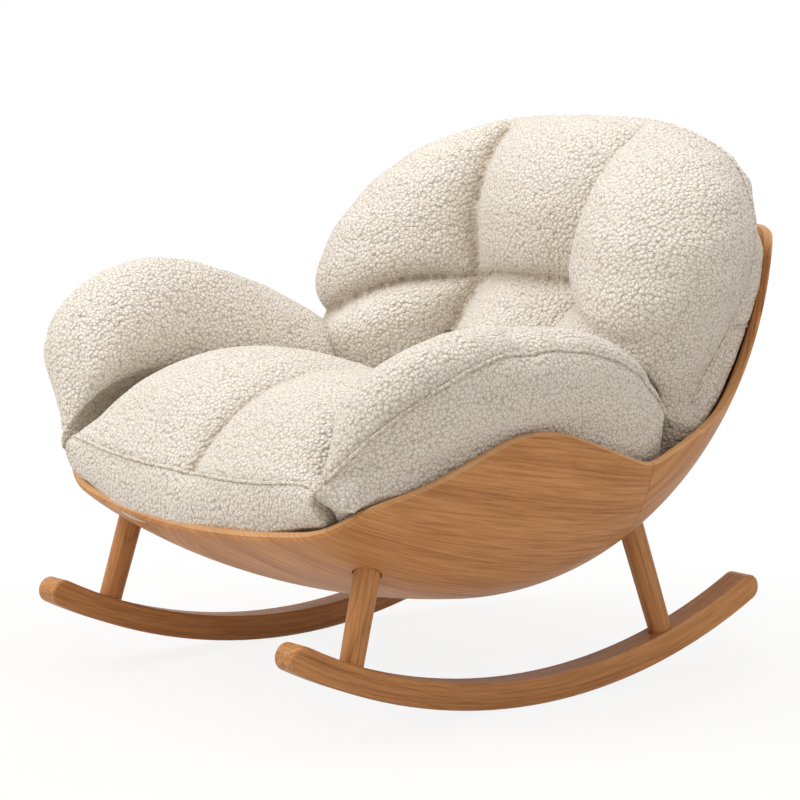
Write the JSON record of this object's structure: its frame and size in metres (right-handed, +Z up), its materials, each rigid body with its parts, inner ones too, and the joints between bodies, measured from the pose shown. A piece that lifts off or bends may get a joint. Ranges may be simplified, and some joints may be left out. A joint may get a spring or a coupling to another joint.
{
  "type": "upholstered rocking chair",
  "caption": "Low upholstered rocking chair: a moulded plywood bowl on four turned legs and two bent runners, filled by lobed seat, arm and back cushions.",
  "frame": {"origin": "on the floor midway between the runners, under the line where the runners touch it at rest", "axes": "+Z up, +Y from the seat's front towards the back cushion, +X to the side that is on the right seen from the front, so that the arm at +X is the one nearer the camera in the picture"},
  "size_m": [0.828, 0.899, 0.7989],
  "materials": {
    "oak": "satin lacquered oak veneer",
    "softwood": "raw plywood and pine",
    "steel": "zinc plated",
    "lining": "woven dust cloth",
    "boucle": "cream boucle",
    "foam": "latex foam",
    "fibre": "fibre wadding"
  },
  "bodies": {
    "root": {"shell_left": "oak", "shell_right": "oak", "shell_back": "oak", "keel_batten": "softwood", "back_batten": "softwood", "leg_front_left": "oak", "leg_front_right": "oak", "leg_rear_left": "oak", "leg_rear_right": "oak", "leg_blocks": "softwood", "leg_bolts": "steel", "runner_left": "oak", "runner_right": "oak", "seat_deck": "softwood", "deck_rail_front": "softwood", "deck_rail_rear": "softwood", "seat_lining": "lining", "seat_cover": "boucle", "seat_core": "foam", "arm_cover_left": "boucle", "arm_cover_right": "boucle", "arm_core_left": "foam", "arm_core_right": "foam", "back_cover": "boucle", "back_core": "fibre"}
  },
  "joints": []
}
